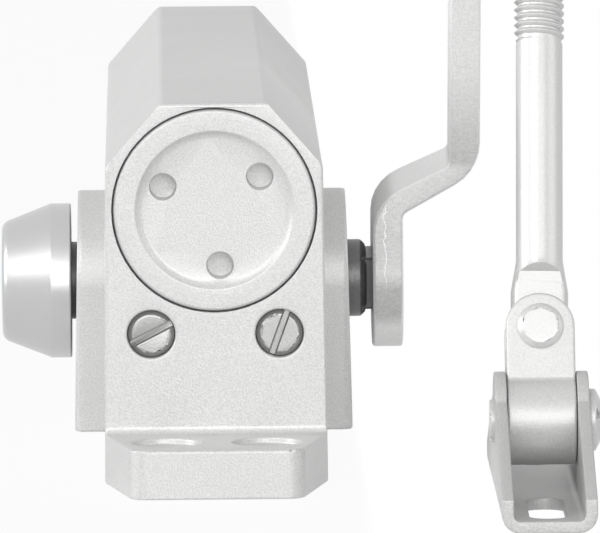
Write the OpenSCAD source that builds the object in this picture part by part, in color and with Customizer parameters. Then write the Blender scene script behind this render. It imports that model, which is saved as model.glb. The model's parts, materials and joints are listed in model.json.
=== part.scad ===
// Surface-mounted hydraulic door closer: rack-and-pinion body with a regular two-piece arm.
// Origin: centre of the four-hole pattern on the mounting face. +Z points away from the door,
// +Y along the body from its valve end to its spring end, and +X towards the arm.

/* [Body casting] */
// Length of the body between its end faces
body_l = 206; // [200:1:212]
// Height of the body above the mounting face
body_h = 72.6; // [72.2:0.1:76]
// Width of the body at the mounting face
base_w = 42.4; // [42:0.1:46]
// Width of the body where the sloping shoulders start
shoulder_w = 41.3; // [41:0.1:42]
// Height at which the sloping shoulders start
shoulder_z = 60.4; // [60:0.1:62]
// Width of the flat top between the shoulders
top_w = 19.9; // [18:0.1:24]
// Radius of the long cast edges
long_edge_r = 1.7; // [0.6:0.1:3]
// Radius of the top edge at the valve end
valve_end_r = 0.9; // [0.5:0.1:2]
// Radius of the top edge at the spring end
spring_end_r = 3; // [0.5:0.1:4]

/* [Mounting feet] */
// Thickness of the feet
foot_t = 9.4; // [8:0.1:11]
// Width of a foot at its tip
foot_tip_w = 32.2; // [31:0.1:36]
// Distance from a row of holes to the tip of its foot
foot_end = 12; // [10:0.5:15]
// Radius of a foot's upright corners
foot_corner_r = 3.5; // [1:0.5:6]
// Fillet where a foot meets the end of the body
foot_fillet_r = 1.5; // [0.5:0.1:2.5]
// Spacing of the mounting holes across the body
hole_pitch_x = 19; // [17:0.5:20]
// Spacing of the mounting holes along the body
hole_pitch_y = 230; // [230:1:236]
// Diameter of the mounting holes
hole_d = 7; // [5:0.1:8]
// Diameter of the spot face round a hole
spotface_d = 13; // [11:0.1:14]
// Depth of the spot face
spotface_depth = 1.3; // [0.5:0.1:2]

/* [Cylinder bore and end plugs] */
// Diameter of the cylinder bore
bore_d = 35; // [34.6:0.1:35.4]
// Height of the bore's axis
bore_z = 52.1; // [51.8:0.1:52.4]
// Diameter of the plugs' threads
plug_thread_d = 39; // [38.4:0.1:39.4]
// Diameter of a plug's head, which leaves a thin gap in the mouth
plug_head_d = 38.4; // [37:0.1:38.4]
// Thickness of a plug's head
plug_head_t = 2.4; // [1.5:0.1:4]
// Length of a plug
plug_l = 12.7; // [12:0.1:14]
// Diameter of the dish in a plug's face
dish_d = 29; // [27:0.5:31]
// Depth of the dish
dish_depth = 1.2; // [0.6:0.1:2]
// Diameter of the three spanner holes
spanner_hole_d = 5.1; // [4:0.1:6]
// Radius on which the spanner holes lie
spanner_hole_r = 10.7; // [9.5:0.1:11]
// Depth of the spanner holes below the dish
spanner_hole_depth = 4; // [2:0.5:5]
// Angle of the first spanner hole
spanner_angle = 35.5; // [0:0.5:119]
// Thickness of an end plug's sealing ring
plug_seal_d = 1.6; // [1.4:0.1:2]

/* [Pinion and bearings] */
// Place of the pinion along the body
pinion_y = -9; // [-12:1:-4]
// Height of the pinion above the mounting face
pinion_z = 28.1; // [28:0.1:28.4]
// Number of pinion teeth
pinion_teeth = 10; // [10:1:10]
// Radius at which the pinion rolls on the rack
pitch_r = 10; // [9.8:0.1:10]
// Radius of the pinion's tooth tips
tip_r = 12.25; // [12:0.05:12.3]
// Radius of the pinion's tooth roots
root_r = 8.33; // [8.1:0.05:8.4]
// Width of a pinion tooth at the pitch radius
tooth_w = 3.6; // [3.5:0.05:3.6]
// Length of the toothed part of the shaft
pinion_w = 17.6; // [15:0.2:17.6]
// Diameter of the shaft in its bearings
shaft_d = 15.3; // [15:0.1:15.4]
// Distance that the shaft reaches out on the arm's side, up to the arm's seat
shaft_right = 30.4; // [30:0.1:31]
// Distance that the shaft reaches into the cap
shaft_left = 36; // [34:0.1:37]
// Width across the flats of the square that drives the arm
square_w = 10.4; // [9.6:0.1:10.7]
// Outer diameter of the roller bearings
bearing_d = 22.9; // [22.5:0.1:23]
// Inner diameter of the bearings' outer rings
ring_bore_d = 19.8; // [19.4:0.1:20]
// Width of the bearings
bearing_w = 7; // [6:0.1:7.2]
// Distance from the middle of the body to a bearing's seat
bearing_x = 13.2; // [13.2:0.1:13.6]
// Number of rollers in a bearing
rollers = 16; // [12:1:18]
// Width of the shaft seals
shaft_seal_w = 2.6; // [2:0.1:2.8]
// Diameter of the threaded glands
gland_d = 25.9; // [25:0.1:27]
// Radius of the tombstone-shaped bosses round the shaft
boss_r = 17.9; // [17:0.1:19]
// Width of the body over both bosses at the mounting face
boss_w = 54.8; // [54.2:0.1:56]
// Draft of the bosses' outer faces, in degrees
boss_draft = 1.2; // [0:0.1:1.5]
// Radius of a boss's outer edge
boss_edge_r = 1.8; // [0.5:0.1:2.5]

/* [Pinion cap] */
// Diameter of the cap that hides the far end of the shaft
cap_d = 30.6; // [28:0.1:33]
// Length of the cap's straight rim
cap_rim = 4; // [2:0.1:6]
// Length of the whole cap
cap_l = 13.7; // [12:0.1:16]
// Diameter of the cap's face
cap_face_d = 23; // [18:0.1:26]
// Radius of the edge round the cap's face
cap_edge_r = 2; // [0.5:0.1:3]
// Gap between the cap and the boss
cap_gap = 1.1; // [0.6:0.1:1.6]

/* [Piston and spring] */
// Distance from the valve end's plug to the closed piston
piston_gap = 4; // [3.5:0.5:5]
// Length of the piston without its spring guide
piston_l = 94; // [93.5:0.5:96]
// Diameter of the guides inside the spring
guide_d = 22; // [18:0.1:22.6]
// Length of the guides inside the spring
guide_l = 6; // [4:0.5:8]
// Diameter of the spring wire
wire_d = 4.2; // [3:0.1:4.4]
// Outer diameter of the spring
spring_d = 32.4; // [31.8:0.1:32.8]
// Number of turns of the spring
spring_turns = 6.5; // [4:0.5:7]
// Thickness of the spring's moving seat
seat_t = 5; // [4:0.5:7]
// Travel of the spring's seat when the power is set
seat_travel = 8; // [4:0.5:10]
// Diameter of the power adjusting screw
adjuster_d = 9.8; // [8:0.1:11]
// Width across the flats of the adjuster's hexagon socket
adjuster_hex = 6; // [4:0.5:7]
// Diameter of the ball in the piston's check valve
check_ball_d = 5; // [4:0.1:5.4]
// Lift of the check ball off its seat
check_lift = 0.8; // [0.4:0.1:1.2]

/* [Regulating valves] */
// Distance of each valve from the middle of the body
valve_x = 12.2; // [12:0.1:12.6]
// Height of the valves above the mounting face
valve_z = 28.5; // [28:0.1:29]
// Diameter of the valve holes
valve_hole_d = 9.2; // [8.6:0.1:9.2]
// Depth of a valve screw's head below the end face
valve_recess = 0.7; // [0.3:0.1:1.5]
// Length of a valve screw's head
valve_head_l = 8; // [6:0.5:9]
// Diameter of a valve screw's stem
valve_stem_d = 6; // [5:0.1:6.4]
// Width of a valve screw's slot
valve_slot_w = 1.3; // [0.8:0.1:1.8]
// Angle of the sweep valve's slot
sweep_slot_angle = 27; // [0:1:180]
// Angle of the latch valve's slot
latch_slot_angle = 70; // [0:1:180]
// Diameter of the oilways
oilway_d = 2.6; // [1.6:0.1:2.8]

/* [Main arm] */
// Distance from the pinion to the elbow
arm_l = 250; // [220:1:260]
// Angle by which the resting arm leans towards the valve end
arm_lean = 7; // [4:0.5:12]
// Angle by which the upper arm leans outwards
arm_splay = 0.4; // [0:0.1:1.5]
// Distance from the middle of the body to the arm's inner face at the hub
arm_x = 31.7; // [31.6:0.1:32.4]
// Thickness of the arm
arm_t = 6; // [5.5:0.1:6.2]
// Distance by which the arm steps outwards above the hub
arm_step = 15.3; // [14.8:0.1:17]
// Radius of the arm's hub
hub_r = 13.7; // [12.5:0.1:15]
// Width of the arm above the step
arm_w = 16.5; // [15:0.1:20]
// Radius of the arm's elbow end
elbow_r = 11; // [10:0.1:12]
// Height above the pinion at which the step starts
step_z = 15.1; // [14.4:0.1:18]
// Height that the step takes
step_rise = 9.6; // [9:0.1:11]
// Radius of the step's wide bends
wide_bend_r = 9.5; // [5:0.1:10]
// Radius of the step's tight bends
tight_bend_r = 1.5; // [0.5:0.1:2.2]

/* [Elbow and forearm] */
// Distance by which the forearm is longer than the arm, from pivot to pivot
forearm_extra = 27.4; // [20:0.1:40]
// Distance from the middle of the arm to the axis of the forearm
rod_offset = 13.4; // [12.4:0.1:14]
// Angle at which the forearm's tube is set outwards in its eye
forearm_set = 0.6; // [0:0.1:1]
// Diameter of the elbow's screw
elbow_pin_d = 9; // [8:0.1:10]
// Thickness of the forearm's eye
eye_t = 9; // [8:0.1:9.4]
// Radius of the forearm's eye
eye_r = 11; // [10:0.1:13]
// Outer diameter of the forearm tube
tube_d = 15; // [14:0.1:16]
// Distance from the shoe's pin to the lower end of the tube
tube_start = 104; // [98:1:112]
// Diameter of the forearm rod's shank
rod_d = 8.8; // [8.2:0.1:9]
// Diameter of the rod's thread over its crests
thread_d = 9.6; // [9.2:0.1:10]
// Distance from the shoe's pin to the start of the thread
thread_start = 72.6; // [65:0.1:80]
// Distance from the shoe's pin to the rod's upper end
rod_end = 180; // [160:1:190]
// Width of the rod's flared neck
flare_d = 10.8; // [10:0.1:11.6]
// Distance from the rivet to the rod's round shank
neck_l = 12.6; // [11.5:0.1:14]
// Length over which the neck narrows to the shank
flare_l = 5.1; // [4:0.1:6]
// Distance from the end of the tongue's flats to the shank
flat_stop = 1.6; // [1:0.1:2.4]
// Thickness of the lock nut
jam_nut_t = 6; // [5:0.5:7]
// Width across the flats of the lock nut
jam_nut_w = 16; // [14.5:0.5:18]
// Length by which the rod can be screwed in or out
rod_adjust = 12; // [6:1:14]

/* [Knuckle and shoe] */
// Width of the knuckle
knuckle_w = 12.9; // [12:0.1:13.6]
// Radius of the knuckle's barrel
barrel_r = 8.3; // [7.6:0.1:8.8]
// Depth of the knuckle's two cheeks, front to back
knuckle_depth = 9.8; // [9.2:0.1:10.4]
// Thickness of the rod's flat tongue
tongue_t = 6; // [5:0.1:6.2]
// Distance from the shoe's pin to the knuckle's rivet
rivet_u = 17; // [16.6:0.1:18.4]
// Diameter of the rivet's heads
rivet_head_d = 8.7; // [7.6:0.1:9.4]
// Diameter of the rivet's shank
rivet_d = 5; // [4:0.1:5.4]
// Diameter of the shoe's pin
shoe_pin_d = 8; // [7:0.1:8.4]
// Height of the shoe's pin above the mounting surface
shoe_pin_z = 15.4; // [14.6:0.1:17]
// Thickness of the shoe's sheet
shoe_t = 2.2; // [2:0.1:2.6]
// Length of the shoe
shoe_l = 86; // [84:1:92]
// Height of the ears at the shoe's ends
ear_end_z = 6.2; // [5:0.1:6.6]
// Radius of an ear's top
ear_r = 9.2; // [8.8:0.1:10]
// Inner radius of the shoe's bends
shoe_bend_r = 1.2; // [0.8:0.1:1.6]
// Width of the shoe's screw slot
slot_w = 6.9; // [5:0.1:7.4]
// Length of the slot between the centres of its round ends
slot_l = 20.6; // [14:0.1:22]
// Distance from the shoe's pin to the middle of the slot at its front
slot_y = 24.8; // [24:0.1:26]
// Diameter of the screw hole at the shoe's rear
rear_hole_d = 5.4; // [4:0.1:5.6]
// Distance from the shoe's pin to the hole at its rear
rear_hole_y = 38.2; // [30:0.1:38.4]
// Diameter of the shoe pin's slotted head
shoe_head_d = 11.7; // [10.5:0.1:13]
// Height of the shoe pin's slotted head
shoe_head_t = 2.4; // [1.8:0.1:3]

/* [Fits] */
// Gap on the radius between a turning or sliding piece and its bore
fit = 0.05; // [0.03:0.01:0.08]
// Gap between faces that lie next to each other
seat_gap = 0.1; // [0.05:0.05:0.2]
// Gap beside pieces that only clear each other
clearance = 0.3; // [0.2:0.05:0.4]

/* [Hidden] */

$fn = 64;
big = 400;
eps = 0.01;

silver = [0.80, 0.80, 0.79];
cast_silver = [0.76, 0.76, 0.76];
steel = [0.62, 0.62, 0.63];
dark_steel = [0.33, 0.33, 0.34];
rubber = [0.10, 0.10, 0.10];

end_y = body_l / 2;
tip_y = hole_pitch_y / 2 + foot_end;
mouth_r = plug_thread_d / 2 + fit;
mouth_depth = plug_l + clearance;
bore_r = bore_d / 2;
piston_r = bore_r - fit;
plug_in_y = end_y - plug_l;
piston_y = -plug_in_y + piston_gap;
piston_end_y = piston_y + piston_l;
bearing_seat_r = bearing_d / 2 + fit;
cavity_r = tip_r + 3 * clearance;
cavity_w = pinion_w + 1.6;
shaft_r = shaft_d / 2;
gland_seat_r = gland_d / 2 + fit;
bearing_in = bearing_x + clearance;
seal_in = bearing_in + bearing_w + seat_gap;
gland_in = seal_in + shaft_seal_w + seat_gap;
boss_x = boss_w / 2 - tan(boss_draft) * (pinion_z + boss_r);
gland_out = boss_x - seat_gap;
cap_in = boss_w / 2 - tan(boss_draft) * pinion_z + cap_gap;
valve_head_r = valve_hole_d / 2 - 2 * fit;
valve_stem_r = valve_stem_d / 2;
valve_bore_r = valve_stem_r + 2 * fit;
valve_hole_l = valve_recess + valve_head_l + clearance;
valve_stem_l = 16;
valve_tip_l = 5;
valve_bore_end = valve_recess + valve_head_l + valve_stem_l + valve_tip_l;
valve_seal_d = 1.2;
valve_seal_at = valve_recess + valve_head_l + 5;

// Tooth form of the rack and the pinion.
pressure = 20;
tooth_pitch = 2 * PI * pitch_r / pinion_teeth;
base_r = pitch_r * cos(pressure);
backlash = 0.24;
rack_tooth_w = tooth_pitch - tooth_w - backlash;
rack_tip_z = pinion_z + root_r + 0.5;
rack_root_z = pinion_z + tip_r + 0.35;
half_turns = 5;
stroke = half_turns * tooth_pitch;
rack_gap_from = pinion_y - tip_r - stroke + 0.6;
rack_gap_to = pinion_y + tip_r - 0.4;

// Frames of the arm, the elbow, the forearm and the shoe.
function turn_x(a, v) = [v[0], v[1] * cos(a) - v[2] * sin(a), v[1] * sin(a) + v[2] * cos(a)];
function turn_y(a, v) = [v[0] * cos(a) + v[2] * sin(a), v[1], -v[0] * sin(a) + v[2] * cos(a)];
pinion_at = [0, pinion_y, pinion_z];
forearm_l = arm_l + forearm_extra;
bend_z = step_z + step_rise;
arm_mid_x = arm_x + arm_t / 2 + arm_step;
elbow_at = [arm_mid_x + tan(arm_splay) * (arm_l - bend_z), 0, arm_l];
// The forearm's fold brings the shoe's pin to its height above the mounting surface.
inset = rod_offset - forearm_l * sin(forearm_set);
drop = pinion_z + (arm_l - inset * sin(arm_splay)) * cos(arm_lean) - shoe_pin_z;
reach = forearm_l * cos(forearm_set) * norm([sin(arm_lean), cos(arm_splay) * cos(arm_lean)]);
fold = atan2(sin(arm_lean), cos(arm_splay) * cos(arm_lean)) + acos(drop / reach);
function from_elbow(v) = pinion_at + turn_x(arm_lean, elbow_at + turn_y(arm_splay, v));
function from_forearm(v) =
    from_elbow(turn_x(-fold, turn_y(forearm_set, v - [0, 0, forearm_l])) + [rod_offset, 0, 0]);
rivet_at = from_forearm([0, 0, rivet_u]);
forearm_dir = from_forearm([0, 0, 1]) - from_forearm([0, 0, 0]);
forearm_lean = atan2(forearm_dir[1], forearm_dir[2]);
shoe_at = [rivet_at[0], rivet_at[1] - rivet_u * sin(forearm_lean), shoe_pin_z];

module at_pinion() translate(pinion_at) rotate([arm_lean, 0, 0]) children();
module at_elbow() at_pinion() translate(elbow_at) rotate([0, arm_splay, 0]) children();
module at_eye() at_elbow() translate([rod_offset, 0, 0]) rotate([-fold, 0, 0]) children();
module at_forearm() at_eye() rotate([0, forearm_set, 0]) translate([0, 0, -forearm_l]) children();
module at_knuckle() translate(shoe_at) rotate([-forearm_lean, 0, 0]) children();
module at_shoe() translate(shoe_at) children();

// A cylinder along X, from x0 to x1.
module x_rod(r, x0, x1) translate([x0, 0, 0]) rotate([0, 90, 0]) cylinder(r = r, h = x1 - x0);
// A cylinder along Y, from y0 to y1.
module y_rod(r, y0, y1) translate([0, y0, 0]) rotate([-90, 0, 0]) cylinder(r = r, h = y1 - y0);
// A solid of revolution about X, whose outline is given as [distance along X, radius].
module x_turned() rotate([90, 0, 90]) rotate([0, 0, 90]) rotate_extrude() children();
// Extrudes an outline of [Y, Z] along X, from x0 to x1.
module along_x(x0, x1) translate([x0, 0, 0]) rotate([90, 0, 90]) linear_extrude(x1 - x0) children();
// Extrudes an outline of [X, Z] along Y, from y0 to y1.
module along_y(y0, y1) translate([0, y1, 0]) rotate([90, 0, 0]) linear_extrude(y1 - y0) children();

// Rounds the corners of an outline: each corner is [x, y, radius].
function corner_arc(a, b, c) =
    let (p = [b[0], b[1]], u = [a[0] - b[0], a[1] - b[1]], v = [c[0] - b[0], c[1] - b[1]],
         ua = u / norm(u), va = v / norm(v), half = acos(max(-1, min(1, ua * va))) / 2,
         r = b[2], along = r / tan(half), mid = ua + va, centre = p + mid / norm(mid) * r / sin(half),
         from = p + ua * along - centre, to = p + va * along - centre,
         a0 = atan2(from[1], from[0]), sweep = ((atan2(to[1], to[0]) - a0 + 540) % 360) - 180,
         steps = max(2, ceil(abs(sweep) / 15)))
    r < eps ? [p]
    : [for (i = [0:steps]) centre + r * [cos(a0 + sweep * i / steps), sin(a0 + sweep * i / steps)]];
function rounded(c) =
    [for (i = [0:len(c) - 1]) each corner_arc(c[(i + len(c) - 1) % len(c)], c[i], c[(i + 1) % len(c)])];

// The body's section, its side view and its plan, which together shape the casting.
module body_section() polygon(rounded([
    [-base_w / 2, 0, 0], [base_w / 2, 0, 0], [shoulder_w / 2, shoulder_z, long_edge_r],
    [top_w / 2, body_h, long_edge_r], [-top_w / 2, body_h, long_edge_r],
    [-shoulder_w / 2, shoulder_z, long_edge_r]]));
module side_view() polygon(rounded([
    [-tip_y, 0, 0], [tip_y, 0, 0], [tip_y, foot_t, 0.6], [end_y, foot_t, foot_fillet_r],
    [end_y, body_h, spring_end_r], [-end_y, body_h, valve_end_r], [-end_y, foot_t, foot_fillet_r],
    [-tip_y, foot_t, 0.6]]));
module plan() polygon(rounded([
    [-foot_tip_w / 2, -tip_y, foot_corner_r], [foot_tip_w / 2, -tip_y, foot_corner_r],
    [base_w / 2, -end_y, 1], [base_w / 2, end_y, 1], [foot_tip_w / 2, tip_y, foot_corner_r],
    [-foot_tip_w / 2, tip_y, foot_corner_r], [-base_w / 2, end_y, 1], [-base_w / 2, -end_y, 1]]));

// One boss: a drafted tombstone with a rounded outer edge.
module boss_outline() polygon(rounded([
    [0, 0, 0], [boss_r, 0, 0], [boss_r, boss_w / 2, boss_edge_r], [0, boss_w / 2, 0]]));
module boss(side) mirror([side < 0 ? 1 : 0, 0, 0]) difference() {
    intersection() {
        translate([0, pinion_y, 0]) union() {
            translate([0, 0, pinion_z]) x_turned() boss_outline();
            linear_extrude(pinion_z) rotate(-90) {
                boss_outline();
                mirror([1, 0]) boss_outline();
            }
        }
        translate([0, -big / 2, 0]) cube([big, big, big]);
    }
    translate([boss_w / 2, -big / 2, 0]) rotate([0, -boss_draft, 0]) translate([0, 0, -big / 2])
        cube([big, big, big]);
}

module valve_hole(side) translate([side * valve_x, 0, valve_z]) {
    y_rod(valve_hole_d / 2, -end_y - 1, -end_y + valve_hole_l);
    y_rod(valve_bore_r, -end_y, -end_y + valve_bore_end - valve_tip_l + clearance);
    y_rod(oilway_d / 2, -end_y, -end_y + valve_bore_end + 4);
    translate([0, -end_y + valve_bore_end + 2, 0]) cylinder(d = oilway_d, h = bore_z - valve_z - bore_r / 2);
}

module mounting_holes()
    for (x = [-1, 1], y = [-1, 1]) translate([x * hole_pitch_x / 2, y * hole_pitch_y / 2, 0]) {
        translate([0, 0, -1]) cylinder(d = hole_d, h = foot_t + 2);
        translate([0, 0, foot_t - spotface_depth]) cylinder(d = spotface_d, h = spotface_depth + 1);
    }

module body_casting() color(cast_silver) difference() {
    union() {
        intersection() {
            along_y(-tip_y, tip_y) body_section();
            along_x(-base_w / 2, base_w / 2) side_view();
            linear_extrude(body_h) plan();
        }
        boss(1);
        boss(-1);
    }
    translate([0, 0, bore_z]) {
        y_rod(bore_r, -end_y, end_y);
        y_rod(mouth_r, -end_y - 1, -end_y + mouth_depth);
        y_rod(mouth_r, end_y - mouth_depth, end_y + 1);
    }
    translate(pinion_at) {
        x_rod(cavity_r, -cavity_w / 2, cavity_w / 2);
        x_rod(shaft_r + 2 * clearance, -boss_w, boss_w);
        for (side = [-1, 1]) mirror([side < 0 ? 1 : 0, 0, 0]) {
            x_rod(bearing_seat_r, bearing_x, boss_w);
            x_rod(gland_seat_r, gland_in - seat_gap, boss_w);
        }
    }
    for (side = [-1, 1]) valve_hole(side);
    mounting_holes();
}

// An end plug, drawn with its face at z = 0 and its body below.
module plug_blank() difference() {
    rotate_extrude() polygon([
        [0, 0], [plug_head_d / 2 - 0.4, 0], [plug_head_d / 2, -0.4], [plug_head_d / 2, -plug_head_t],
        [plug_thread_d / 2, -plug_head_t - 0.4], [plug_thread_d / 2, -plug_l + 0.8],
        [plug_thread_d / 2 - 0.8, -plug_l], [0, -plug_l]]);
    difference() {
        translate([0, 0, -plug_l + 2 * plug_seal_d - 0.2]) cylinder(r = mouth_r + 1, h = plug_seal_d + 0.4);
        translate([0, 0, -plug_l]) cylinder(r = mouth_r - plug_seal_d - 2 * fit, h = plug_l);
    }
}
module plug_seal() translate([0, 0, -plug_l + 2.5 * plug_seal_d])
    rotate_extrude() translate([mouth_r - plug_seal_d / 2 - fit, 0]) circle(d = plug_seal_d, $fn = 24);
module at_valve_end() translate([0, -end_y, bore_z]) rotate([90, 0, 0]) children();
module at_spring_end() translate([0, end_y, bore_z]) rotate([-90, 0, 0]) children();

module valve_end_plug() color(cast_silver) at_valve_end() difference() {
    plug_blank();
    rotate_extrude() polygon([
        [0, 1], [dish_d / 2 + 0.6, 1], [dish_d / 2 + 0.6, 0], [dish_d / 2, -dish_depth * 0.6],
        [dish_d / 2 - 1, -dish_depth], [0, -dish_depth]]);
    for (i = [0:2]) rotate(spanner_angle + 120 * i)
        translate([spanner_hole_r, 0, -dish_depth - spanner_hole_depth])
            cylinder(d = spanner_hole_d, h = spanner_hole_depth + 1);
}
module valve_end_seal() color(rubber) at_valve_end() plug_seal();

adjuster_r = adjuster_d / 2;
adjuster_head_r = adjuster_r + 1.2;
adjuster_recess = 1.5;
adjuster_flange_r = adjuster_head_r + 2.5;
adjuster_flange_t = 3;
adjuster_seal_d = 1.4;
adjuster_tip = plug_l + adjuster_flange_t + 2 * clearance + seat_t + seat_travel + 10;

module spring_end_plug() color(cast_silver) at_spring_end() difference() {
    plug_blank();
    translate([0, 0, -plug_l - 1]) cylinder(r = adjuster_head_r + fit, h = plug_l + 2);
    for (i = [0:2]) rotate(spanner_angle + 120 * i)
        translate([spanner_hole_r + 2, 0, -spanner_hole_depth])
            cylinder(d = spanner_hole_d, h = spanner_hole_depth + 1);
}
module spring_end_seal() color(rubber) at_spring_end() plug_seal();
module power_adjuster() color(steel) at_spring_end() difference() {
    rotate_extrude() polygon([
        [0, -adjuster_recess], [adjuster_head_r - 0.5, -adjuster_recess],
        [adjuster_head_r, -adjuster_recess - 0.5],
        [adjuster_head_r, -plug_l + 4 * adjuster_seal_d],
        [adjuster_head_r - adjuster_seal_d, -plug_l + 4 * adjuster_seal_d],
        [adjuster_head_r - adjuster_seal_d, -plug_l + 2.8 * adjuster_seal_d],
        [adjuster_head_r, -plug_l + 2.8 * adjuster_seal_d], [adjuster_head_r, -plug_l - seat_gap],
        [adjuster_flange_r, -plug_l - seat_gap], [adjuster_flange_r, -plug_l - adjuster_flange_t],
        [adjuster_r, -plug_l - adjuster_flange_t], [adjuster_r, -adjuster_tip + 1],
        [adjuster_r - 1, -adjuster_tip], [0, -adjuster_tip]]);
    translate([0, 0, -adjuster_recess - 5]) cylinder(d = adjuster_hex / cos(30), h = 6, $fn = 6);
}
module power_adjuster_seal() color(rubber) at_spring_end()
    translate([0, 0, -plug_l + 3.4 * adjuster_seal_d]) rotate_extrude()
        translate([adjuster_head_r + fit - adjuster_seal_d / 2 - 0.04, 0])
            circle(d = adjuster_seal_d - 0.1, $fn = 24);

seat_back = plug_l + adjuster_flange_t + clearance;
module guide(r, l) rotate_extrude() polygon([[0, 0], [r, 0], [r, l - 1], [r - 1, l], [0, l]]);
module spring_seat() color(steel) at_spring_end() translate([0, 0, -seat_back - seat_t]) difference() {
    union() {
        cylinder(r = piston_r - clearance, h = seat_t);
        translate([0, 0, eps]) mirror([0, 0, 1]) guide(guide_d / 2, guide_l);
    }
    translate([0, 0, -guide_l - 1]) cylinder(r = adjuster_r + fit, h = seat_t + guide_l + 2);
}

// The spring's wire, swept along its coil; the end turns close up against both seats.
spring_from = piston_end_y + seat_gap;
spring_to = end_y - seat_back - seat_t - seat_gap;
coil_r = (spring_d - wire_d) / 2;
coil_steps = 20;
wire_sides = 6;
coil_count = round(spring_turns * coil_steps);
coil_room = spring_to - spring_from - wire_d;
// Share of the length covered after t turns, slow over the first and the last turn.
function coil_rise(t) =
    let (n = spring_turns, end_share = 1.15 * wire_d / coil_room)
    t < 1 ? t * end_share
    : t > n - 1 ? 1 - (n - t) * end_share
    : end_share + (t - 1) / (n - 2) * (1 - 2 * end_share);
function coil_point(i, k) =
    let (t = i / coil_steps, a = 360 * t, b = 360 * k / wire_sides, r = coil_r + wire_d / 2 * cos(b))
    [r * cos(a), spring_from + wire_d / 2 + coil_rise(t) * coil_room + wire_d / 2 * sin(b), r * sin(a)];
module main_spring() color(steel) translate([0, 0, bore_z]) polyhedron(
    points = [for (i = [0:coil_count], k = [0:wire_sides - 1]) coil_point(i, k)],
    faces = concat(
        [[for (k = [0:wire_sides - 1]) k]],
        [for (i = [0:coil_count - 1], k = [0:wire_sides - 1], half = [0, 1])
            let (a = i * wire_sides + k, b = i * wire_sides + (k + 1) % wire_sides)
            half == 0 ? [a, a + wire_sides, b] : [b, a + wire_sides, b + wire_sides]],
        [[for (k = [wire_sides - 1:-1:0]) coil_count * wire_sides + k]]));

// The piston carries the rack on its underside and a ball check valve in its head.
check_r = check_ball_d / 2;
check_chamber_r = check_r + 0.3;
retainer_r = 5;
retainer_t = 2;
check_seat_y = piston_y + retainer_t + seat_gap + check_lift + check_ball_d;
function rack_edge(k) = let (
    y = pinion_y + k * tooth_pitch, slope = tan(pressure), pitch_z = pinion_z + pitch_r,
    root_half = rack_tooth_w / 2 + (rack_root_z - pitch_z) * slope,
    tip_half = rack_tooth_w / 2 - (pitch_z - rack_tip_z) * slope)
    [[y - root_half, rack_root_z], [y - tip_half, rack_tip_z],
     [y + tip_half, rack_tip_z], [y + root_half, rack_root_z]];
module rack_gap() polygon(concat(
    [[rack_gap_from, bore_z - bore_r - 1], [rack_gap_from, rack_root_z]],
    [for (k = [-half_turns - 1:1]) each rack_edge(k)],
    [[rack_gap_to, rack_root_z], [rack_gap_to, bore_z - bore_r - 1]]));
module piston() color(steel) difference() {
    translate([0, piston_y, bore_z]) rotate([-90, 0, 0]) {
        rotate_extrude() polygon([
            [0, 0], [piston_r - 1, 0], [piston_r, 1], [piston_r, piston_l - 1],
            [piston_r - 1, piston_l], [0, piston_l]]);
        translate([0, 0, piston_l - eps]) guide(guide_d / 2, guide_l);
    }
    along_x(-bore_r, bore_r) rack_gap();
    translate([0, 0, bore_z]) {
        y_rod(retainer_r + fit, piston_y - 1, piston_y + retainer_t + seat_gap);
        y_rod(check_chamber_r, piston_y, check_seat_y);
        y_rod(oilway_d / 2, piston_y, piston_end_y + guide_l + 1);
    }
}
module check_ball() color(steel) translate([0, check_seat_y - check_r - 0.02, bore_z])
    sphere(d = check_ball_d, $fn = 32);
module check_ball_retainer() color(steel) translate([0, 0, bore_z]) difference() {
    y_rod(retainer_r, piston_y, piston_y + retainer_t);
    y_rod(check_r / 2, piston_y - 1, piston_y + retainer_t + 1);
}

// Involute outline of the pinion, with a gap between teeth pointing up at the rack.
function involute(a) = tan(a) - a * PI / 180;
function flank(r) =
    (tooth_w / 2 / pitch_r + involute(pressure) - involute(acos(base_r / max(r, base_r)))) * 180 / PI;
function tooth(mid) =
    let (rs = [root_r, base_r, base_r + (tip_r - base_r) * 0.3, base_r + (tip_r - base_r) * 0.65, tip_r])
    concat([for (r = rs) r * [cos(mid - flank(r)), sin(mid - flank(r))]],
           [for (i = [len(rs) - 1:-1:0]) rs[i] * [cos(mid + flank(rs[i])), sin(mid + flank(rs[i]))]]);
module pinion_outline()
    polygon([for (i = [0:pinion_teeth - 1]) each tooth(90 + 360 / pinion_teeth * (i + 0.5))]);

square_end = arm_x + arm_t - 2.2;
arm_screw_d = 6;
arm_screw_l = 14;
module pinion_shaft() color(dark_steel) translate(pinion_at) difference() {
    union() {
        along_x(-pinion_w / 2, pinion_w / 2) pinion_outline();
        x_turned() polygon([
            [0, -shaft_left], [shaft_r - 1, -shaft_left], [shaft_r, -shaft_left + 1],
            [shaft_r, shaft_right - 1], [shaft_r - 1, shaft_right], [0, shaft_right]]);
        rotate([arm_lean, 0, 0]) translate([shaft_right - 1, -square_w / 2, -square_w / 2])
            cube([square_end - shaft_right + 1, square_w, square_w]);
    }
    x_rod(arm_screw_d / 2 + fit, square_end - arm_screw_l - 3, square_end + 1);
}

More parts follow.
